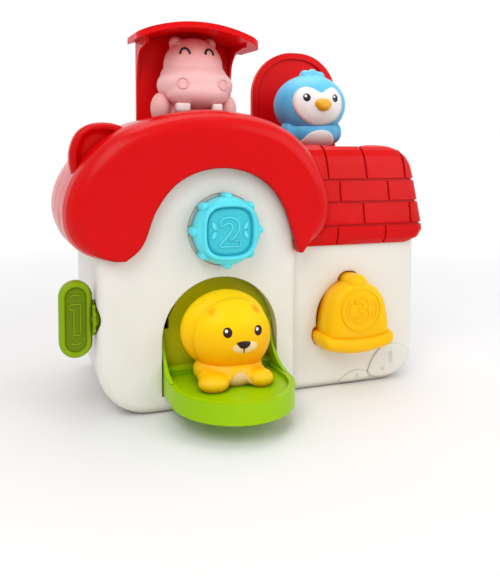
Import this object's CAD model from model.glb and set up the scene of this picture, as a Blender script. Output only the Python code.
import bmesh
import bpy
import math
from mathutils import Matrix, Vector
from mathutils.bvhtree import BVHTree


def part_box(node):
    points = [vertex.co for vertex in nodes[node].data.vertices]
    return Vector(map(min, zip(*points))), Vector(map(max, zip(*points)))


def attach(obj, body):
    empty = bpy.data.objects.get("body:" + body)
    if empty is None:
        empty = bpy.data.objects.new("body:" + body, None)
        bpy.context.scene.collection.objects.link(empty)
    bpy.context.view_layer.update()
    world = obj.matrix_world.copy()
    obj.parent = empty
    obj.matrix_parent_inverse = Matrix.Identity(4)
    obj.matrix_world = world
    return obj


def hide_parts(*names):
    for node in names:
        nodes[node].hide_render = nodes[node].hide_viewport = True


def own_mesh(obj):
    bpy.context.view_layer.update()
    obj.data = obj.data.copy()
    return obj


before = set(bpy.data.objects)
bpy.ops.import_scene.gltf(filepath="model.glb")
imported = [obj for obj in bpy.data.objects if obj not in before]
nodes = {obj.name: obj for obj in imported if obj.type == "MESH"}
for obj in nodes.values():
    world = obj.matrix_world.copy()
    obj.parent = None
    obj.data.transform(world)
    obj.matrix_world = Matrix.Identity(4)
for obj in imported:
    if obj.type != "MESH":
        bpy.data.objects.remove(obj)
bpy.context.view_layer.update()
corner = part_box("front_shell")[0]  # left front bottom corner of the house
mm = 0.001
print("frame loaded:", len(nodes), "nodes")


def at(x, y, z):  # millimetres from the corner of the house, as metres in the frame
    return corner + Vector((x, y, z)) * mm


def middleOf(node):  # a node's centre and half sizes, in millimetres from the corner
    low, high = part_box(node)
    return ((low + high) / 2 - corner) / mm, (high - low) / 2 / mm


# finishes

def linear(red, green, blue):  # a screen colour as the shaders take it
    shares = [value / 255 for value in (red, green, blue)]
    return tuple(s / 12.92 if s <= 0.04045 else ((s + 0.055) / 1.055) ** 2.4 for s in shares) + (1,)


def feed(tree, socket, value):
    if isinstance(value, bpy.types.NodeSocket):
        tree.links.new(value, socket)
    else:
        socket.default_value = value


def addNode(tree, kind, inputs, output=0, **settings):
    node = tree.nodes.new(kind)
    for key, value in settings.items():
        setattr(node, key, value)
    for name, value in inputs.items():
        feed(tree, node.inputs[name], value)
    return node.outputs[output]


def blendTint(tree, share, first, second):
    return addNode(tree, "ShaderNodeMix", {0: share, 6: first, 7: second}, 2, data_type="RGBA")


def ranged(tree, value, low, high, start=0.0, stop=1.0):
    return addNode(tree, "ShaderNodeMapRange",
                   {"Value": value, "From Min": low, "From Max": high, "To Min": start, "To Max": stop})


def newMaterial(name):
    material = bpy.data.materials.new(name)
    material.use_nodes = True
    tree = material.node_tree
    return material, tree, tree.nodes["Principled BSDF"]


# what a moulded finish has unless its own look says otherwise
usualLook = {"skin": 700, "edge": 0.7, "shine": 0.4, "coat": 0.15, "glow": 0.0, "fadeAlong": "Z",
             "sprayed": []}


def moulded(name, ownLook):  # moulded plastic: clouded tint, darker creases, fine skin, soft edges
    look = {**usualLook, **ownLook}
    material, tree, shader = newMaterial(name)
    place = addNode(tree, "ShaderNodeTexCoord", {}, "Object")
    cloud = addNode(tree, "ShaderNodeTexNoise", {"Vector": place, "Scale": 16, "Detail": 3})
    tint = blendTint(tree, ranged(tree, cloud, 0.35, 0.65), linear(*look["tint"]), linear(*look["cloud"]))
    if "fade" in look:  # a second colour that takes over upwards, or towards the rear
        height = addNode(tree, "ShaderNodeSeparateXYZ", {"Vector": place}, look["fadeAlong"])
        drift = addNode(tree, "ShaderNodeMath", {0: ranged(tree, cloud, 0.2, 0.8, -0.004, 0.004), 1: height})
        start, stop = look["fadeFrom"] * mm, look["fadeTo"] * mm
        tint = blendTint(tree, ranged(tree, drift, start, stop), tint, linear(*look["fade"]))
    for spot, reach, shade in look["sprayed"]:  # soft round patches
        away = addNode(tree, "ShaderNodeVectorMath", {0: place, 1: at(*spot)}, 1, operation="DISTANCE")
        tint = blendTint(tree, ranged(tree, away, reach * 0.3 * mm, reach * mm), linear(*shade), tint)
    crease = addNode(tree, "ShaderNodeAmbientOcclusion", {"Distance": 0.007}, "AO", samples=6)
    tint = blendTint(tree, ranged(tree, crease, 0.25, 0.85), linear(*look["crease"]), tint)
    feed(tree, shader.inputs["Base Color"], tint)
    smudge = addNode(tree, "ShaderNodeTexNoise",
                     {"Vector": place, "Scale": 60, "Detail": 5, "Roughness": 0.6})
    rough = look["rough"]
    feed(tree, shader.inputs["Roughness"], ranged(tree, smudge, 0.3, 0.7, rough - 0.05, rough + 0.06))
    skin = addNode(tree, "ShaderNodeTexNoise", {"Vector": place, "Scale": look["skin"], "Detail": 2})
    soft = addNode(tree, "ShaderNodeBevel", {"Radius": look["edge"] * mm},
                   samples=8 if "edge" in ownLook else 4)
    normal = addNode(tree, "ShaderNodeBump", {"Strength": 0.06, "Distance": 0.0004, "Height": skin,
                                              "Normal": soft})
    feed(tree, shader.inputs["Normal"], normal)
    shader.inputs["IOR"].default_value = 1.5
    shader.inputs["Specular IOR Level"].default_value = look["shine"]
    shader.inputs["Coat Weight"].default_value = look["coat"]
    shader.inputs["Coat Roughness"].default_value = 0.12
    shader.inputs["Subsurface Weight"].default_value = look["glow"]
    shader.inputs["Subsurface Radius"].default_value = (1, 0.6, 0.4)
    shader.inputs["Subsurface Scale"].default_value = 0.002
    return material


def drawnSteel(name):  # wire, rods and screws
    material, tree, shader = newMaterial(name)
    place = addNode(tree, "ShaderNodeTexCoord", {}, "Object")
    streaks = addNode(tree, "ShaderNodeMapping", {"Vector": place, "Scale": (1500, 1500, 60)})
    grain = addNode(tree, "ShaderNodeTexNoise", {"Vector": streaks, "Scale": 1, "Detail": 3})
    feed(tree, shader.inputs["Base Color"],
         blendTint(tree, grain, linear(150, 150, 154), linear(205, 205, 208)))
    feed(tree, shader.inputs["Roughness"], ranged(tree, grain, 0.3, 0.7, 0.22, 0.4))
    feed(tree, shader.inputs["Normal"],
         addNode(tree, "ShaderNodeBump", {"Strength": 0.1, "Distance": 0.0001, "Height": grain}))
    shader.inputs["Metallic"].default_value = 1
    return material


# tint, cloud, crease and fade are screen colours, edge is a radius in millimetres, fadeFrom and fadeTo
# are millimetres along the frame's own axis, and sprayed holds (place from the corner, reach, colour)
finishes = {
    "archRed": {"tint": (218, 5, 8), "cloud": (211, 4, 7), "crease": (186, 3, 6), "rough": 0.22, "coat": 0.05,
                "shine": 0.1, "skin": 420, "edge": 4},
    "roofRed": {"tint": (214, 5, 8), "cloud": (206, 4, 7), "crease": (184, 3, 6), "rough": 0.24, "coat": 0.04,
                "shine": 0.1, "skin": 420},
    "lidRed": {"tint": (232, 8, 12), "cloud": (224, 6, 10), "crease": (190, 4, 8), "rough": 0.32, "coat": 0.0,
               "shine": 0.14},
    "shellWhite": {"tint": (235, 232, 224), "cloud": (230, 227, 218), "crease": (204, 197, 182),
                   "rough": 0.36, "glow": 0.05, "skin": 500},
    "innerGrey": {"tint": (168, 166, 158), "cloud": (160, 158, 150), "crease": (90, 88, 84), "rough": 0.55,
                  "coat": 0.0},
    "hippoPink": {"tint": (243, 200, 198), "cloud": (241, 194, 192), "crease": (228, 150, 150), "rough": 0.48,
                  "coat": 0.05, "glow": 0.2, "fade": (231, 150, 147), "fadeFrom": 216, "fadeTo": 238},
    "hippoBelly": {"tint": (243, 190, 187), "cloud": (240, 183, 180), "crease": (234, 140, 141), "rough": 0.5,
                   "coat": 0.05, "glow": 0.2},
    "toothWhite": {"tint": (255, 240, 236), "cloud": (252, 234, 230), "crease": (242, 190, 186),
                   "rough": 0.4},
    "penguinBlue": {"tint": (90, 192, 240), "cloud": (82, 184, 234), "crease": (56, 132, 188), "rough": 0.42,
                    "coat": 0.1, "glow": 0.1, "fade": (104, 204, 244), "fadeFrom": 205, "fadeTo": 222},
    "plumeWhite": {"tint": (246, 244, 240), "cloud": (242, 238, 234), "crease": (205, 190, 190),
                   "rough": 0.42, "coat": 0.1},
    "beakOrange": {"tint": (240, 176, 10), "cloud": (234, 164, 8), "crease": (190, 105, 5), "rough": 0.36},
    "trayGreen": {"tint": (158, 203, 0), "cloud": (149, 196, 0), "crease": (108, 160, 4), "rough": 0.32,
                  "coat": 0.05, "shine": 0.12},
    "doorOlive": {"tint": (165, 214, 0), "cloud": (156, 206, 0), "crease": (110, 160, 4), "rough": 0.42,
                  "coat": 0.0, "shine": 0.15, "fade": (196, 196, 4), "fadeAlong": "Y", "fadeFrom": -54,
                  "fadeTo": -49},
    "keyGreen": {"tint": (140, 170, 0), "cloud": (132, 162, 0), "crease": (84, 108, 2), "rough": 0.36,
                 "coat": 0.05, "shine": 0.12},
    "keyPanel": {"tint": (108, 134, 0), "cloud": (101, 127, 0), "crease": (74, 94, 2), "rough": 0.42,
                 "coat": 0.05, "shine": 0.12},
    "lionYellow": {"tint": (255, 160, 2), "cloud": (255, 167, 2), "crease": (250, 134, 4), "rough": 0.42,
                   "coat": 0.03, "glow": 0.15, "shine": 0.12, "fade": (255, 212, 0), "fadeFrom": 34,
                   "fadeTo": 62, "sprayed": [((64.8, -19, 68.4), 4.4, (252, 164, 4)),
                                             ((94.4, -19, 67.4), 4.4, (252, 164, 4))]},
    "maneYellow": {"tint": (255, 170, 4), "cloud": (255, 178, 2), "crease": (250, 142, 6), "rough": 0.44,
                   "coat": 0.03, "glow": 0.15, "shine": 0.12, "fade": (255, 210, 0), "fadeFrom": 34,
                   "fadeTo": 64},
    "pawYellow": {"tint": (255, 202, 4), "cloud": (255, 195, 2), "crease": (250, 158, 6), "rough": 0.42,
                  "coat": 0.05, "glow": 0.15, "shine": 0.25},
    "creamPaint": {"tint": (248, 216, 160), "cloud": (246, 210, 150), "crease": (225, 160, 90),
                   "rough": 0.42},
    "bellyPaint": {"tint": (246, 206, 152), "cloud": (244, 200, 142), "crease": (225, 150, 80),
                   "rough": 0.45},
    "darkPaint": {"tint": (46, 16, 12), "cloud": (38, 12, 10), "crease": (26, 8, 6), "rough": 0.25,
                  "coat": 0.1, "shine": 0.2},
    "blackPaint": {"tint": (24, 20, 26), "cloud": (18, 15, 20), "crease": (10, 9, 12), "rough": 0.22,
                   "coat": 0.1, "shine": 0.2},
    "glintPaint": {"tint": (250, 250, 250), "cloud": (246, 246, 246), "crease": (230, 230, 230),
                   "rough": 0.3},
    "knobCyan": {"tint": (96, 230, 244), "cloud": (88, 224, 239), "crease": (40, 172, 192), "rough": 0.34,
                 "shine": 0.3},
    "knobPanel": {"tint": (64, 201, 217), "cloud": (58, 196, 212), "crease": (40, 172, 192), "rough": 0.36,
                  "shine": 0.3},
    "bellYellow": {"tint": (253, 198, 0), "cloud": (252, 191, 0), "crease": (246, 154, 0), "rough": 0.36,
                   "coat": 0.05, "glow": 0.1, "shine": 0.12},
}
paint = {name: moulded(name, look) for name, look in finishes.items()}
steel = drawnSteel("drawnSteel")
print("finishes made:", len(paint) + 1)


# the frame's own nodes get their finish by name

nodeFinish = {
    "archRed": ["arch_roof_front", "arch_roof_rear"],
    "roofRed": ["brick_roof"],
    "lidRed": ["hatch_panel", "hatch_back", "lift_floor", "lid_panel", "lid_floor"],
    "shellWhite": ["front_shell", "rear_shell", "base_plate", "door_lugs", "hatch_latch_guide",
                   "door_latch_guide"],
    "trayGreen": ["door_tray"],
    "doorOlive": ["door_back"],
    "bellYellow": ["bell_flange"],
}
for node in nodes.values():
    node.data.materials.clear()
    node.data.materials.append(paint["innerGrey"])
for finishName, names in nodeFinish.items():
    for name in names:
        nodes[name].data.materials[0] = paint[finishName]
steelWords = ("spring", "rod_left", "rod_right", "pin", "screws")
for name, node in nodes.items():
    if any(word in name for word in steelWords):
        node.data.materials[0] = steel
print("frame nodes dressed")


# making meshes

def newObject(name, data):
    made = bpy.data.objects.new(name, data)
    bpy.context.scene.collection.objects.link(made)
    return made


def dressed(piece, material, body):  # its finish, the body that it rides on and its slot
    piece.data.materials.clear()
    piece.data.materials.append(material)
    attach(piece, body)
    return piece


def addPiece(name, points, faces, material, body):
    mesh = bpy.data.meshes.new(name)
    shape = bmesh.new()
    verts = [shape.verts.new(point) for point in points]
    for face in faces:
        shape.faces.new([verts[index] for index in face])
    bmesh.ops.recalc_face_normals(shape, faces=shape.faces)
    shape.to_mesh(mesh)
    shape.free()
    mesh.shade_smooth()
    return dressed(newObject(name, mesh), material, body)


def bandFaces(rows, count):  # faces between rings, with a fan at each end
    faces = []
    for row in range(rows - 1):
        for step in range(count):
            after = (step + 1) % count
            faces.append((row * count + step, row * count + after,
                          (row + 1) * count + after, (row + 1) * count + step))
    first, last = rows * count, rows * count + 1
    for step in range(count):
        after = (step + 1) % count
        faces.append((after, step, first))
        faces.append(((rows - 1) * count + step, (rows - 1) * count + after, last))
    return faces


def ringSkin(name, rings, ends, material, body, slotName):
    points = [point for ring in rings for point in ring] + list(ends)
    return addPiece(name, points, bandFaces(len(rings), len(rings[0])), material, body)


def roundedPath(corners, steps=6):  # an outline from (x, z, radius) corners
    path = []
    count = len(corners)
    for index, (x, z, radius) in enumerate(corners):
        here = Vector((x, z))
        before = (Vector(corners[index - 1][:2]) - here).normalized()
        after = (Vector(corners[(index + 1) % count][:2]) - here).normalized()
        half = before.angle(after) / 2
        centre = here + (before + after).normalized() * (radius / math.sin(half))
        start = here + before * (radius / math.tan(half)) - centre
        turn = start.angle_signed(here + after * (radius / math.tan(half)) - centre)
        for step in range(steps + 1):
            angle = -turn * step / steps
            path.append(centre + Vector((start.x * math.cos(angle) - start.y * math.sin(angle),
                                         start.x * math.sin(angle) + start.y * math.cos(angle))))
    return path


def smoothPath(spots, steps=6):  # a closed smooth outline through a few spots
    path = []
    count = len(spots)
    for index in range(count):
        a, b, c, d = (Vector(spots[(index + shift) % count]) for shift in (-1, 0, 1, 2))
        for step in range(steps):
            t = step / steps
            path.append(0.5 * ((2 * b) + (c - a) * t + (2 * a - 5 * b + 4 * c - d) * t * t
                               + (3 * b - a - 3 * c + d) * t ** 3))
    return path


def ovalPath(x, z, halfWidth, halfHeight, steps=32, tilt=0.0):
    path = []
    for step in range(steps):
        angle = math.tau * step / steps
        across, upward = halfWidth * math.cos(angle), halfHeight * math.sin(angle)
        path.append(Vector((x + across * math.cos(tilt) - upward * math.sin(tilt),
                            z + across * math.sin(tilt) + upward * math.cos(tilt))))
    return path


def arcPath(x, z, halfWidth, halfHeight, start, stop, steps):  # part of an oval, its angles in degrees
    path = []
    for step in range(steps + 1):
        angle = math.radians(start + (stop - start) * step / steps)
        path.append(Vector((x + halfWidth * math.cos(angle), z + halfHeight * math.sin(angle))))
    return path


def insetPath(path, distance):  # an outline moved inwards along its own normals
    turn = sum(path[i - 1].x * path[i].y - path[i].x * path[i - 1].y for i in range(len(path)))
    moved = []
    for index, spot in enumerate(path):
        along = (path[(index + 1) % len(path)] - path[index - 1]).normalized()
        normal = Vector((-along.y, along.x)) * (1 if turn > 0 else -1)
        moved.append(spot + normal * distance)
    return moved


def middle(path):
    return sum(path, Vector((0, 0))) / len(path)


def shrunkPath(path, distance):  # an outline drawn towards its middle, so that it never crosses itself
    heart = middle(path)
    half = Vector([(max(spot[i] for spot in path) - min(spot[i] for spot in path)) / 2 for i in (0, 1)])
    scale = [max(0.05, 1 - distance / half[i]) for i in (0, 1)]
    return [Vector((heart.x + (spot.x - heart.x) * scale[0], heart.y + (spot.y - heart.y) * scale[1]))
            for spot in path]


def cushion(name, path, layers, material, body, slotName, shrink):
    # an outline seen from the front, carried through (inset, depth) layers and drawn in by shrink
    rings = [[at(spot.x, depth, spot.y) for spot in shrink(path, inset)] for inset, depth in layers]
    heart = middle(path)
    ends = (at(heart.x, layers[0][1], heart.y), at(heart.x, layers[-1][1], heart.y))
    return ringSkin(name, rings, ends, material, body, slotName)


def lathe(name, centre, axis, layers, sides, material, body, slotName):
    # (radius, depth, power) rings about an axis: power 2 is round, above it squarer
    rings = []
    for radius, depth, power in layers:
        ring = []
        for step in range(sides):
            angle = math.tau * step / sides
            c, s = math.cos(angle), math.sin(angle)
            reach = radius / (abs(c) ** power + abs(s) ** power) ** (1 / power)
            first, second = reach * c, reach * s
            if axis == "y":
                ring.append(at(centre[0] + first, depth, centre[2] + second))
            else:
                ring.append(at(depth, centre[1] + first, centre[2] + second))
        rings.append(ring)
    ends = []
    for depth in (layers[0][1], layers[-1][1]):
        ends.append(at(centre[0], depth, centre[2]) if axis == "y" else at(depth, centre[1], centre[2]))
    return ringSkin(name, rings, ends, material, body, slotName)


def meshNow(thing):  # what a curve, a text or some modifiers give, as a plain mesh
    return bpy.data.meshes.new_from_object(thing.evaluated_get(bpy.context.evaluated_depsgraph_get()))


def applied(piece):  # its modifiers become its mesh
    mesh = meshNow(piece)
    mesh.name = piece.name
    piece.modifiers.clear()
    piece.data = mesh


def sculpt(name, look, material, body, slotName):
    # soft forms grown together from eggs, each a (centre, half sizes) pair in millimetres
    shape = bmesh.new()
    for centre, radii in look["eggs"]:
        for vert in bmesh.ops.create_icosphere(shape, subdivisions=4, radius=1)["verts"]:
            vert.co = at(*[centre[i] + vert.co[i] * radii[i] for i in range(3)])
    mesh = bpy.data.meshes.new(name)
    shape.to_mesh(mesh)
    shape.free()
    piece = newObject(name, mesh)
    remesh = piece.modifiers.new("remesh", "REMESH")
    remesh.mode = "VOXEL"
    remesh.voxel_size = look.get("voxel", 0.9) * mm
    smooth = piece.modifiers.new("smooth", "SMOOTH")
    smooth.iterations = look["soften"]
    applied(piece)
    if "cutBelow" in look:
        shape = bmesh.new()
        shape.from_mesh(piece.data)
        whole = shape.verts[:] + shape.edges[:] + shape.faces[:]
        bmesh.ops.bisect_plane(shape, geom=whole, plane_co=at(0, 0, look["cutBelow"]),
                               plane_no=(0, 0, 1), clear_inner=True)
        rim = [edge for edge in shape.edges if edge.is_boundary]
        bmesh.ops.contextual_create(shape, geom=rim)
        shape.to_mesh(piece.data)
        shape.free()
    piece.data.shade_smooth()
    return dressed(piece, material, body)


def surfaceOf(*pieces):  # their meshes together, for rays to land on
    points = []
    faces = []
    for piece in pieces:
        base = len(points)
        points += [piece.matrix_world @ vert.co for vert in piece.data.vertices]
        faces += [[base + index for index in polygon.vertices] for polygon in piece.data.polygons]
    return BVHTree.FromPolygons(points, faces)


def landed(surface, x, z, lift):  # the place on a surface straight behind (x, z), seen from the front
    wellInFront = -150
    spot, normal = surface.ray_cast(at(x, wellInFront, z), Vector((0, 1, 0)))[:2]
    if spot is None:
        return None
    normal = normal if normal.y < 0 else -normal
    return spot + normal * lift * mm


def laidOn(surface, path, lift):
    return [landed(surface, spot.x, spot.y, lift) for spot in path]


def painted(name, path, surface, material, body, slotName, lift, rows):
    # a thin skin of paint or plastic that follows the surface inside an outline
    heart = middle(path)
    sunk = -0.3
    shares = [(row + 1) / rows for row in range(rows)]
    layers = [(share, lift) for share in shares] + [(share, sunk) for share in reversed(shares)]
    rings = []
    for share, height in layers:
        ring = []
        for spot in path:
            place = heart + (spot - heart) * share
            found = landed(surface, place.x, place.y, height)
            for closer in (0.97, 0.94, 0.9, 0.85, 0.8, 0.7):  # past the surface's edge, nearer the middle
                if found is not None:
                    break
                near = heart + (place - heart) * closer
                found = landed(surface, near.x, near.y, height)
            ring.append(found)
        rings.append(ring)
    ends = laidOn(surface, [heart], lift) + laidOn(surface, [heart], sunk)
    return ringSkin(name, rings, ends, material, body, slotName)


def paintedEye(animal, side, look, surface, material, body, slotName):  # a dark dot with a small glint
    x, z = look[side]
    dotPath = ovalPath(x, z, *look["size"], steps=28)
    dot = painted(f"{animal}_eye_{side}", dotPath, surface, material, body, slotName, lift=0.25, rows=4)
    shift, rise = look["glintPlace"]
    glintPath = ovalPath(x + shift, z + rise, *look["glintSize"], steps=16)
    painted(f"{animal}_glint_{side}", glintPath, surfaceOf(dot), paint["glintPaint"], body, "tooth_white",
            lift=0.12, rows=3)


def meshOfCurve(name, curve):
    maker = newObject(name, curve)
    bpy.context.view_layer.update()
    mesh = meshNow(maker)
    bpy.data.objects.remove(maker)
    return mesh


def tube(name, points, radius, material, body, slotName, closed=False):
    curve = bpy.data.curves.new(name, "CURVE")
    curve.dimensions = "3D"
    curve.bevel_depth = radius * mm
    curve.bevel_resolution = 3
    curve.use_fill_caps = True
    spline = curve.splines.new("POLY")
    spline.points.add(len(points) - 1)
    for spot, point in zip(spline.points, points):
        spot.co = (*point, 1)
    spline.use_cyclic_u = closed
    mesh = meshOfCurve(name + "_line", curve)
    mesh.shade_smooth()
    return dressed(newObject(name, mesh), material, body)


def numeral(name, text, centre, look, material, body, slotName):  # a figure drawn by its raised outline
    curve = bpy.data.curves.new(name, "FONT")
    curve.body = text
    curve.fill_mode = "NONE"
    curve.resolution_u = 6
    flat = meshOfCurve(name + "_text", curve)
    links = {vert.index: [] for vert in flat.vertices}
    for edge in flat.edges:
        first, second = edge.vertices
        links[first].append(second)
        links[second].append(first)
    order = [0, links[0][0]]
    while len(order) < len(links):
        order.append([other for other in links[order[-1]] if other != order[-2]][0])
    path = insetPath([flat.vertices[index].co.xy for index in order], -look["weight"])
    x, y, z = centre
    width, height = look["size"]
    left, right = min(spot.x for spot in path), max(spot.x for spot in path)
    low, high = min(spot.y for spot in path), max(spot.y for spot in path)
    points = [at(x + width * ((spot.x - left) / (right - left) - 0.5), y,
                 z + height * ((spot.y - low) / (high - low) - 0.5)) for spot in path]
    return tube(name, points, look["line"], material, body, slotName, closed=True)


# knob with number 2

knob, knobHalf = middleOf("knob_cap")
knobLook = {
    "radius": 21.4,
    "squareness": 3.1,
    "nubs": 8,
    "nubRadius": 3.2,
    "nubReach": 20.7,
    "numeral": {"size": (13.5, 18), "line": 0.62, "weight": 0.03},
    "petal": {"across": 10.4, "rise": 0.6, "spread": 2.8, "size": (1.3, 2.6), "tilt": -0.45},
}
cyanKnob = (paint["knobCyan"], "knob", "knob_blue")  # finish, body and slot
face = knob.y - knobHalf.y
radius, square = knobLook["radius"], knobLook["squareness"]
# (radius, depth, squareness) rings, from the wall over the lip into the dish
capLayers = [(radius - 1, -1, 2), (radius, -1.4, 2), (radius, face + 6.6, 2), (radius - 0.3, face + 5, 2),
             (radius - 0.9, face + 3.8, 2), (radius - 1.8, face + 3, 2.1), (18.9, face + 2.5, 2.5),
             (18, face + 2.2, 2.9), (17.6, face + 1.6, square), (17.4, face + 0.8, square),
             (17.1, face + 0.2, square), (16.6, face, square), (16, face, square),
             (15.5, face + 0.25, square), (15.3, face + 0.9, square), (15.2, face + 1.9, square),
             (14.8, face + 2.3, square)]
knobCap = lathe("knob_cap_body", knob, "y", capLayers, 128, *cyanKnob)
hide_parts("knob_cap")
panelLayers = [(15, face + 2.9, square), (15, face + 2.15, square), (12, face + 1.9, 2.8),
               (8, face + 1.75, 2.3), (3, face + 1.7, 2)]
knobPanel = lathe("knob_panel", knob, "y", panelLayers, 96, paint["knobPanel"], "knob", "knob_blue")
size, reach = knobLook["nubRadius"], knobLook["nubReach"]
nubLayers = [(size * 0.7, -1.2, 2), (size, -1.6, 2), (size, face + 7, 2), (size * 0.94, face + 5.6, 2),
             (size * 0.75, face + 4.4, 2), (size * 0.45, face + 3.7, 2), (size * 0.15, face + 3.5, 2)]
for number in range(knobLook["nubs"]):
    angle = math.tau * number / knobLook["nubs"]
    spot = (knob.x + reach * math.cos(angle), 0, knob.z + reach * math.sin(angle))
    lathe(f"knob_nub_{number}", spot, "y", nubLayers, 28, *cyanKnob)
numeral("knob_numeral", "2", (knob.x, face + 1.6, knob.z - 0.3), knobLook["numeral"], *cyanKnob)
knobFace = surfaceOf(knobCap, knobPanel)
petal = knobLook["petal"]
for side, sideName in ((-1, "left"), (1, "right")):
    for lean, leanName in ((-1, "low"), (1, "top")):
        petalPath = ovalPath(knob.x + side * petal["across"], knob.z + petal["rise"] + lean * petal["spread"],
                             *petal["size"], steps=20, tilt=side * lean * petal["tilt"])
        painted(f"knob_petal_{sideName}_{leanName}", petalPath, knobFace, *cyanKnob, lift=0.55, rows=4)
print("knob made")


# key with number 1

key = middleOf("key_paddle")[0]
keyLeft = (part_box("key_paddle")[0].x - corner.x) / mm
keyLook = {
    "width": 20.2,
    "height": 47.2,
    "panelDeep": 3.15,  # from the paddle's middle to each sunk face
    "ribs": 12,
    "ribReach": 9.7,
    "ribStart": 0.14,
    "numeral": [(-3.4, 9.4), (2.9, 9.4), (2.9, -9.4), (-1.2, -9.4), (-1.2, 6.2), (-3.4, 6.2)],
    "numeralDeep": 3.25,
    "arc": {"z": 12.8, "size": (3.6, 2.4), "start": 30, "stop": 150, "deep": 3.2},
    "line": 0.5,
}
greenKey = (paint["keyGreen"], "key", "tray_green")
paddleX = keyLeft + keyLook["width"] / 2


def paddlePath(path, inset):  # the paddle's outline with round ends, whatever path cushion hands over
    reach, straight = keyLook["width"] / 2 - inset, (keyLook["height"] - keyLook["width"]) / 2
    spots = []
    for step in range(64):
        angle = math.tau * (step + 0.5) / 64
        spots.append(Vector((paddleX + reach * math.cos(angle),
                             key.z + math.copysign(straight, math.sin(angle)) + reach * math.sin(angle))))
    return spots


# (inset, distance from the middle) from a sunk face over the rolled lip to the edge
lipLayers = [(3.9, 3.1), (3.65, 3.3), (3.5, 3.9), (3.1, 4.4), (2.5, 4.5), (1.6, 4.4), (0.7, 3.8),
             (0.15, 2.8), (0, 1.6)]
paddleLayers = [(inset, key.y + deep) for inset, deep in lipLayers]
paddleLayers += [(inset, key.y - deep) for inset, deep in reversed(lipLayers)]
outline = paddlePath(None, 0)
paddle = cushion("key_paddle_body", outline, paddleLayers, *greenKey, paddlePath)
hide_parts("key_paddle")
for side, place in (("front", -keyLook["panelDeep"]), ("rear", keyLook["panelDeep"])):
    deep = key.y + place
    cushion(f"key_panel_{side}", outline, [(3.8, deep - place * 0.2), (3.8, deep), (4.4, deep)],
            paint["keyPanel"], "key", "tray_green", paddlePath)
hubLayers = [(9.2, -2.2, 2), (9.7, -1.9, 2), (9.8, -1.3, 2), (9.7, -0.7, 2), (9, -0.4, 2), (8.6, -0.3, 2),
             (8.6, 1.4, 2), (8.2, 1.8, 2)]
lathe("key_hub", key, "x", hubLayers, 64, *greenKey)
ribLayers = [(0.8, -2.3, 2), (1.2, -2.1, 2), (1.4, -1.5, 2), (1.4, -0.8, 2), (1, -0.4, 2)]
for number in range(keyLook["ribs"]):
    angle = math.tau * number / keyLook["ribs"] + keyLook["ribStart"]
    spot = (0, key.y + keyLook["ribReach"] * math.cos(angle), key.z + keyLook["ribReach"] * math.sin(angle))
    lathe(f"key_rib_{number}", spot, "x", ribLayers, 16, *greenKey)
figure = roundedPath([(paddleX + x, key.z + z, 0.5) for x, z in keyLook["numeral"]], 3)
tube("key_numeral", [at(spot.x, key.y - keyLook["numeralDeep"], spot.y) for spot in figure],
     keyLook["line"], *greenKey, closed=True)
arc = keyLook["arc"]
for side, sideName in ((-1, "low"), (1, "top")):
    halfWidth, halfHeight = arc["size"]
    arcLine = arcPath(paddleX, key.z + side * arc["z"], halfWidth, side * halfHeight, arc["start"],
                      arc["stop"], steps=12)
    tube(f"key_arc_{sideName}", [at(spot.x, key.y - arc["deep"], spot.y) for spot in arcLine],
         keyLook["line"], *greenKey)
print("key made")


# bell with number 3

bellX = middleOf("bell_button")[0].x
front = (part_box("bell_button")[0].y - corner.y) / mm
bellLook = {
    "rear": 10.9,
    "emblemZ": 57.6,
    "emblem": (14.6, 14.2),
    "emblemLine": 0.6,
    "numeral": {"size": (11.5, 17), "line": 0.6, "weight": 0.03},
    "arcReaches": (9.2, 11.4),
    "arcHalfTurn": 38,
    "arcLine": 0.35,
    "rim": {"half": 27.6, "z": 33, "sag": 4.4, "thick": 6.2, "taper": 1.1, "bulge": 7.2,
            "closeFrom": 0.84, "closeOver": 0.16, "closeLeast": 0.02, "steps": 44, "sides": 28},
}
yellowBell = (paint["bellYellow"], "bell", "bell_yellow")
rear = bellLook["rear"]


def mirrored(half):  # the right half of an outline from the top down, and its mirror image back up
    return smoothPath([(bellX + x, z) for x, z in half] + [(bellX - x, z) for x, z in half[-2:0:-1]])


# (inset, depth) layers from the rear over the side to the front
domePuff = [(1.2, rear), (0, rear - 0.6), (0, front + 8.5), (0.3, front + 6.4), (1, front + 4.6),
            (2.2, front + 3.1), (4, front + 2), (6.6, front + 1.2), (10, front + 0.75), (15, front + 0.6)]
domePath = mirrored([(0, 77.2), (4.6, 76.8), (8.4, 74.6), (14, 71.6), (19, 65.8), (22, 57.5), (23.7, 48.5),
                     (24.2, 43), (23, 37.5), (12.4, 35.6), (0, 35)])
dome = cushion("bell_dome", domePath, domePuff, *yellowBell, shrunkPath)
stubPuff = [(1, rear), (0, rear - 0.6), (0, front + 7.2), (0.5, front + 5), (1.6, front + 3.3),
            (3, front + 2.4), (5, front + 2.1)]
stubPath = mirrored([(0, 80.6), (3.4, 80.2), (6, 78.4), (7, 75.8), (6.6, 72.6), (3.8, 70.6), (0, 70.2)])
cushion("bell_stub", stubPath, stubPuff, *yellowBell, shrunkPath)
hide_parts("bell_button")

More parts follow.
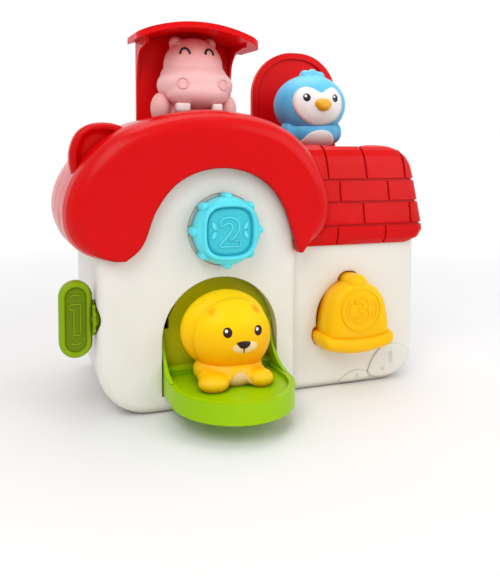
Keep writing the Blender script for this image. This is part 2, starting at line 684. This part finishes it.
# the rim is a bowed roll that swells in the middle and closes round at both ends
rimLook = bellLook["rim"]
rimHeart = front + rimLook["bulge"]
rimRings = []
for step in range(rimLook["steps"] + 1):
    across = -math.cos(math.pi * step / rimLook["steps"])
    pastRound = max(0.0, (abs(across) - rimLook["closeFrom"]) / rimLook["closeOver"])
    closing = math.sqrt(max(rimLook["closeLeast"], 1 - pastRound ** 2))
    tall = (rimLook["thick"] - rimLook["taper"] * across ** 2) * closing
    middleZ = rimLook["z"] + rimLook["sag"] * across ** 2
    ring = []
    for turn in range(rimLook["sides"]):
        angle = math.tau * (turn + 0.5) / rimLook["sides"]
        c, s = math.cos(angle), math.sin(angle)
        deep = rimHeart - c * (rimLook["bulge"] * closing if c > 0 else rear - rimHeart)
        rise = tall * (s if c > 0 else math.copysign(1, s))
        ring.append(at(bellX + across * rimLook["half"], deep, middleZ + rise))
    rimRings.append(ring)
rimEnds = [sum(ring, Vector()) / len(ring) for ring in (rimRings[0], rimRings[-1])]
rim = ringSkin("bell_rim", rimRings, rimEnds, *yellowBell)

emblemZ = bellLook["emblemZ"]
domeFace = surfaceOf(dome, rim)
emblemRing = laidOn(domeFace, ovalPath(bellX, emblemZ, *bellLook["emblem"], steps=72), lift=0.1)
tube("bell_emblem_ring", emblemRing, bellLook["emblemLine"], *yellowBell, closed=True)
numeral("bell_numeral", "3", (bellX, front + 0.6, emblemZ), bellLook["numeral"], *yellowBell)
halfTurn = bellLook["arcHalfTurn"]
for side, sideName in ((-1, "left"), (1, "right")):
    for reach in bellLook["arcReaches"]:
        arcSpots = arcPath(bellX, emblemZ, side * reach, reach, -halfTurn, halfTurn, steps=16)
        tube(f"bell_arc_{sideName}_{round(reach)}", laidOn(domeFace, arcSpots, lift=0.05),
             bellLook["arcLine"], *yellowBell)
print("bell made")


# hippo

hippoX = middleOf("hippo_head")[0].x
headX = hippoX + 0.8
hippoLook = {
    "trunk": {"eggs": [((hippoX, 57, 190), (27, 15, 18)), ((hippoX - 24, 49, 194), (7, 8, 11)),
                       ((hippoX + 24, 49, 194), (7, 8, 11))],
              "cutBelow": 176, "soften": 14},
    "head": {"eggs": [((headX, 49, 210), (27.4, 16, 15)), ((headX, 54, 224), (21.4, 14.5, 20)),
                      ((headX, 52.5, 217), (24, 15, 12)), ((headX, 46, 204), (23, 15, 11)),
                      ((headX - 12.4, 55, 240), (5, 3.4, 4.8)), ((headX + 12.4, 55, 240), (5, 3.4, 4.8))],
             "soften": 9},
    "eyeX": {"left": -8.3, "right": 8.9},
    "eyeZ": 230.6,
    "eye": (3.1, 4.1),
    "eyeLine": 0.8,
    "nostrilX": {"left": -11.8, "right": 17.2},
    "nostrilZ": 210,
    "nostril": (3.5, 3.6),
    "nostrilLine": 0.7,
    "earX": {"left": -12.6, "right": 12.6},
    "earZ": 240.4,
    "ear": (2.4, 2.4),
    "toothX": {"left": (58.9, 68.7), "right": (84.3, 91.6)},
    "toothZ": (190.5, 197),
    "toothFront": 34.6,
}
pinkHippo = (paint["hippoPink"], "hippo_lift", "hippo_pink")
paleHippo = (paint["hippoBelly"], "hippo_lift", "hippo_pink")
hippoBody = sculpt("hippo_trunk", hippoLook["trunk"], *paleHippo)
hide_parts("hippo_body")
hippoHead = sculpt("hippo_face", hippoLook["head"], *pinkHippo)
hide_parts("hippo_head")
hippoFace = surfaceOf(hippoHead)
for side in ("left", "right"):
    eyePath = arcPath(hippoX + hippoLook["eyeX"][side], hippoLook["eyeZ"], *hippoLook["eye"], 0, 180,
                      steps=14)  # a laughing eye is half an oval
    tube(f"hippo_eye_{side}", laidOn(hippoFace, eyePath, lift=0.1), hippoLook["eyeLine"],
         paint["blackPaint"], "hippo_lift", "tooth_white")
    nostril = ovalPath(hippoX + hippoLook["nostrilX"][side], hippoLook["nostrilZ"], *hippoLook["nostril"])
    tube(f"hippo_nostril_{side}", laidOn(hippoFace, nostril, lift=0.15), hippoLook["nostrilLine"],
         *paleHippo, closed=True)
    earPath = ovalPath(headX + hippoLook["earX"][side], hippoLook["earZ"], *hippoLook["ear"], steps=24)
    painted(f"hippo_ear_{side}", earPath, hippoFace, *paleHippo, lift=0.2, rows=4)
toothFront = hippoLook["toothFront"]
toothLayers = [(1, toothFront + 8), (0, toothFront + 7.4), (0, toothFront + 1.6), (0.3, toothFront + 0.8),
               (0.9, toothFront + 0.2), (2, toothFront)]
low, high = hippoLook["toothZ"]
for side, (near, far) in hippoLook["toothX"].items():
    toothPath = roundedPath([(near, low, 2.4), (far, low, 2.4), (far, high, 1.2), (near, high, 1.2)])
    tooth = cushion(f"hippo_tooth_{side}", toothPath, toothLayers, paint["toothWhite"], "hippo_lift",
                    "tooth_white", shrunkPath)
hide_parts("hippo_teeth")  # the last tooth made stands for the node of both
print("hippo made")


# penguin

penguinX = 173.5
penguinLook = {
    "head": {"eggs": [((penguinX, 66, 200.5), (28.4, 24, 23.5)), ((penguinX - 6, 62, 223.4), (4.2, 4, 3.6)),
                      ((penguinX, 62, 224.6), (3.8, 4, 3.6)), ((penguinX + 6, 62, 223), (4.2, 4, 3.4))],
             "soften": 8},
    "trunk": {"eggs": [((penguinX + 1, 67, 180), (22, 19, 15)), ((penguinX - 18, 64, 180), (7, 8, 9)),
                       ((penguinX + 19, 64, 180), (7, 8, 9))],
              "cutBelow": 168.1, "soften": 10},
    "bill": {"eggs": [((172.8, 43, 199.8), (6.9, 5.2, 4.2)), ((172.8, 42.4, 198.4), (5.6, 5, 4.2))],
             "voxel": 0.45, "soften": 4},
    "mask": [(171.6, 207.9), (176.4, 210.6), (182, 212.6), (187, 210.2), (190.4, 204.4), (190.8, 197.6),
             (188.4, 191), (183, 186.6), (176, 184.4), (168.6, 184.2), (161.6, 187), (156, 191.6),
             (152.4, 197.6), (152, 204), (155, 209.6), (160.4, 212.4), (166.4, 210.8)],
    "belly": [(161, 169), (162, 174), (166.5, 179), (174.5, 181), (183, 179), (188, 174), (189.4, 169)],
    "eyes": {"left": (160.6, 204.4), "right": (183.2, 204.4), "size": (2.5, 2.9),
             "glintPlace": (-0.8, 1), "glintSize": (0.95, 1)},
}
bluePenguin = (paint["penguinBlue"], "penguin_lid", "penguin_blue")
whitePlume = (paint["plumeWhite"], "penguin_lid", "penguin_blue")
penguinHead = sculpt("penguin_crown", penguinLook["head"], *bluePenguin)
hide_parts("penguin_head")
penguinBody = sculpt("penguin_trunk", penguinLook["trunk"], *bluePenguin)
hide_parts("penguin_body")
maskPath = smoothPath(penguinLook["mask"], 5)
mask = painted("penguin_mask", maskPath, surfaceOf(penguinHead), *whitePlume, lift=0.3, rows=9)
maskFace = surfaceOf(mask)
for side in ("left", "right"):
    paintedEye("penguin", side, penguinLook["eyes"], maskFace, paint["blackPaint"], "penguin_lid",
               "tooth_white")
beak = sculpt("penguin_bill", penguinLook["bill"], paint["beakOrange"], "penguin_lid", "beak_orange")
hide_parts("penguin_beak")
painted("penguin_belly", smoothPath(penguinLook["belly"]), surfaceOf(penguinBody), *whitePlume, lift=0.3,
        rows=7)
print("penguin made")


# lion

lionX = 78.6
lionLook = {
    "face": {"eggs": [((lionX + 2, -12, 49.8), (25.6, 15.6, 24))], "soften": 6},
    "mane": {"eggs": [((lionX - 0.4, -5.4, 52.8), (28.6, 12.6, 24.8))], "soften": 4},
    "trunk": {"eggs": [((lionX + 0.5, -10, 29.5), (22.5, 15, 12)),
                       ((lionX - 14.5, -27, 26.6), (9.6, 8, 5.6)),
                       ((lionX + 15.5, -26, 26.6), (8.4, 7.6, 5.6)), ((lionX + 2, -20, 28), (13, 8, 8)),
                       ((lionX - 15, -19, 27), (7, 8, 6)), ((lionX + 15.5, -18, 27), (7, 8, 6))],
              "cutBelow": 22.6, "soften": 12},
    "snout": {"eggs": [((82.8, -23.6, 46.8), (10.8, 4.6, 5.6))], "voxel": 0.5, "soften": 3},
    "eyes": {"left": (73.1, 55.9), "right": (93.2, 55.4), "size": (2.7, 3), "glintPlace": (-0.8, 0.9),
             "glintSize": (1, 1.05)},
    "nose": [(78.8, 49.6), (82.9, 50.2), (87, 49.4), (86.4, 47.6), (84.1, 46.2), (81.6, 46.2), (79.4, 47.8)],
    "lip": [(83, 46.4), (83, 45.4), (83, 44.4), (83, 43.5)],
    "lipLine": 0.35,
    "belly": [(74.2, 23), (75, 26.8), (77.6, 30.4), (80.8, 31.6), (84, 30.4), (86.4, 26.8), (87, 23)],
}
lionHead = sculpt("lion_face", lionLook["face"], paint["lionYellow"], "lion_door", "lion_yellow")
lionMane = sculpt("lion_mane", lionLook["mane"], paint["maneYellow"], "lion_door", "lion_yellow")
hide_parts("lion_head")
lionBody = sculpt("lion_trunk", lionLook["trunk"], paint["pawYellow"], "lion_door", "lion_yellow")
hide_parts("lion_body")
lionFace = surfaceOf(lionHead, lionMane)
darkLion = (paint["darkPaint"], "lion_door", "muzzle_cream")
for side in ("left", "right"):
    paintedEye("lion", side, lionLook["eyes"], lionFace, *darkLion)
muzzle = sculpt("lion_snout", lionLook["snout"], paint["creamPaint"], "lion_door", "muzzle_cream")
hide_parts("lion_muzzle")
muzzleFace = surfaceOf(muzzle, lionHead)
painted("lion_nose", smoothPath(lionLook["nose"]), muzzleFace, *darkLion, lift=0.35, rows=5)
lip = [landed(muzzleFace, x, z, lift=0.05) for x, z in lionLook["lip"]]
tube("lion_lip", lip, lionLook["lipLine"], *darkLion)
painted("lion_belly", smoothPath(lionLook["belly"]), surfaceOf(lionBody), paint["bellyPaint"], "lion_door",
        "muzzle_cream", lift=0.25, rows=5)
print("lion made")


# the ear on the roof, puffed up round a shallow dish

earLook = {
    "path": [(-9, 138), (-12.5, 148.2), (-14.3, 157.9), (-13.2, 167.5), (-9, 175.8), (-1.6, 180.6),
             (8.1, 181.8), (17, 180), (24, 175), (26, 166), (20, 152), (8, 142)],
    "front": 14,
    "rear": 27,
}
earNear, earFar = earLook["front"], earLook["rear"]
earLayers = [(6, earFar), (2.4, earFar - 0.3), (0.7, earFar - 1.6), (0, earFar - 4), (0, earNear + 4.6),
             (0.3, earNear + 2.8), (1.2, earNear + 1.2), (2.6, earNear + 0.3), (4, earNear),
             (5, earNear + 0.3), (5.8, earNear + 1), (6.6, earNear + 1.9), (7.8, earNear + 2.5),
             (10, earNear + 2.8)]
ear = cushion("roof_ear_puff", smoothPath(earLook["path"]), earLayers, paint["roofRed"], "house", "roof_red",
              shrunkPath)
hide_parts("roof_ear")
print("ear made")


# the springs that push the hippo up: they shorten as it goes down

springLook = {"turns": 11, "perTurn": 24, "wire": 0.55, "travel": 59.7}
for side in ("left", "right"):
    coil, coilHalf = middleOf(f"lift_spring_{side}")
    reach, rise = coilHalf.x - springLook["wire"], 2 * (coilHalf.z - springLook["wire"])
    steps = springLook["turns"] * springLook["perTurn"]
    helix = []
    for step in range(steps + 1):
        angle = math.tau * step / springLook["perTurn"]
        helix.append(at(coil.x + reach * math.cos(angle), coil.y + reach * math.sin(angle),
                        coil.z + rise * (step / steps - 0.5)))
    spring = tube(f"lift_coil_{side}", helix, springLook["wire"], steel, "house", "steel")
    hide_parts(f"lift_spring_{side}")
    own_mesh(spring)
print("springs made")


# relief of a bush on the front wall, and the collar round the knob

bushLook = {
    "tall": [(191.5, 7), (193, 14), (196.6, 20), (201.6, 24.6), (208, 26.6), (216, 26), (222.6, 22.6),
             (225.6, 17), (223, 10.4), (217, 6), (208, 3.6), (199, 3.4)],
    "low": [(169.2, 3.6), (171.6, 6.6), (176.6, 9.2), (182.6, 10.4), (187.6, 9.6), (190.6, 7.4), (191, 4),
            (180, 2.6)],
    "raised": 0.7,
    "dashes": [(210, 17, 4), (203.4, 9.4, 1.5), (182.4, 6.4, 1.4)],  # x, z and half height
    "dashHalfWidth": 1.1,
    "dashLine": 0.28,
}
collarLook = {"radius": 23.4, "depth": -0.05, "line": 0.5}
whiteHouse = (paint["shellWhite"], "house", "shell_white")
wallFace = surfaceOf(nodes["front_shell"])
bushes = [painted(f"bush_{name}", smoothPath(bushLook[name]), wallFace, *whiteHouse,
                  lift=bushLook["raised"], rows=9) for name in ("tall", "low")]
bushFace = surfaceOf(*bushes)
for number, (x, z, halfHeight) in enumerate(bushLook["dashes"]):
    dash = laidOn(bushFace, ovalPath(x, z, bushLook["dashHalfWidth"], halfHeight, steps=24), lift=0.1)
    tube(f"bush_dash_{number}", dash, bushLook["dashLine"], *whiteHouse, closed=True)
collarPath = ovalPath(knob.x, knob.z, collarLook["radius"], collarLook["radius"], steps=96)
collar = [at(spot.x, collarLook["depth"], spot.y) for spot in collarPath]
tube("knob_collar", collar, collarLook["line"], *whiteHouse, closed=True)
print("reliefs made")


# floor, light and camera, in metres

stageLook = {"halfWidth": 3.0, "near": -2.0, "bend": 1.1, "bendRadius": 0.7, "bendSteps": 16, "top": 2.6,
             "tint": (240, 240, 240), "cloud": (237, 237, 237), "rough": 0.7, "whiteFrom": 0.25,
             "whiteTo": 0.7}


def seenDirectly(tree):  # 1 for what the camera sees, also in gloss or through clear parts
    paths = tree.nodes.new("ShaderNodeLightPath").outputs
    seen = addNode(tree, "ShaderNodeMath", {0: paths["Is Camera Ray"], 1: paths["Is Glossy Ray"]})
    return addNode(tree, "ShaderNodeMath", {0: seen, 1: paths["Is Transmission Ray"]}, use_clamp=True)


def floorMaterial(name, look):
    material, tree, shader = newMaterial(name)
    place = addNode(tree, "ShaderNodeTexCoord", {}, "Object")
    cloud = addNode(tree, "ShaderNodeTexNoise", {"Vector": place, "Scale": 3, "Detail": 2})
    feed(tree, shader.inputs["Base Color"],
         blendTint(tree, cloud, linear(*look["tint"]), linear(*look["cloud"])))
    shader.inputs["Roughness"].default_value = look["rough"]
    # away from the toy the sweep is plain white to the eye
    reach = addNode(tree, "ShaderNodeVectorMath", {0: place}, 1, operation="LENGTH")
    far = ranged(tree, reach, look["whiteFrom"], look["whiteTo"])
    share = addNode(tree, "ShaderNodeMath", {0: far, 1: seenDirectly(tree)}, operation="MULTIPLY")
    white = addNode(tree, "ShaderNodeEmission", {"Color": (1, 1, 1, 1), "Strength": 1.0})
    mixed = addNode(tree, "ShaderNodeMixShader", {0: share, 1: shader.outputs["BSDF"], 2: white})
    feed(tree, tree.nodes["Material Output"].inputs["Surface"], mixed)
    return material


profile = [(stageLook["near"], 0.0), (stageLook["bend"], 0.0)]  # (y, z) of the floor and its rise
for step in range(1, stageLook["bendSteps"] + 1):
    angle = math.pi / 2 * step / stageLook["bendSteps"]
    profile.append((stageLook["bend"] + stageLook["bendRadius"] * math.sin(angle),
                    stageLook["bendRadius"] * (1 - math.cos(angle))))
profile.append((profile[-1][0], stageLook["top"]))
sweep = bpy.data.meshes.new("floor_sweep")
rows = [(x, y, z) for y, z in profile for x in (-stageLook["halfWidth"], stageLook["halfWidth"])]
sweep.from_pydata(rows, [], [(2 * i, 2 * i + 1, 2 * i + 3, 2 * i + 2) for i in range(len(profile) - 1)])
sweep.shade_smooth()
sweep.materials.append(floorMaterial("paleFloor", stageLook))
newObject("floor_sweep", sweep)

skyLook = {"onToy": 0.48, "seen": 1}
world = bpy.data.worlds.new("studio")
bpy.context.scene.world = world
world.use_nodes = True
sky = world.node_tree.nodes["Background"]
sky.inputs["Color"].default_value = (1, 1, 1, 1)
skyLight = ranged(world.node_tree, seenDirectly(world.node_tree), 0, 1, skyLook["onToy"], skyLook["seen"])
feed(world.node_tree, sky.inputs["Strength"], skyLight)

lampAim = Vector((0, 0, 0.1))
lamps = {
    "key_lamp": {"spot": (-0.7, -0.9, 1.2), "size": 0.9, "watts": 10},
    "fill_lamp": {"spot": (0.9, -0.8, 0.7), "size": 0.9, "watts": 4.6},
    "top_lamp": {"spot": (0.1, 0.2, 1.4), "size": 1.0, "watts": 7},
}
for name, look in lamps.items():
    light = bpy.data.lights.new(name, "AREA")
    light.size = look["size"]
    light.energy = look["watts"]
    lamp = newObject(name, light)
    lamp.location = look["spot"]
    lamp.rotation_euler = (lampAim - lamp.location).to_track_quat("-Z", "Y").to_euler()

cameraLook = {
    "place": (-0.16424, -0.41937, 0.15892),
    "turn": 18.09,
    "dip": 3.12,
    "lens": 38.22,
    "sensor": 36,
    "nearest": 0.01,
    "shift": (0.0726, -0.1656),
}
camera = newObject("camera", bpy.data.cameras.new("camera"))
camera.data.lens = cameraLook["lens"]
camera.data.sensor_width = cameraLook["sensor"]
camera.data.clip_start = cameraLook["nearest"]
camera.data.shift_x, camera.data.shift_y = cameraLook["shift"]
camera.location = cameraLook["place"]
camera.rotation_euler = (math.radians(90 - cameraLook["dip"]), 0, -math.radians(cameraLook["turn"]))
bpy.context.scene.camera = camera
bpy.context.scene.view_settings.view_transform = "Standard"
print("stage, light and camera made")
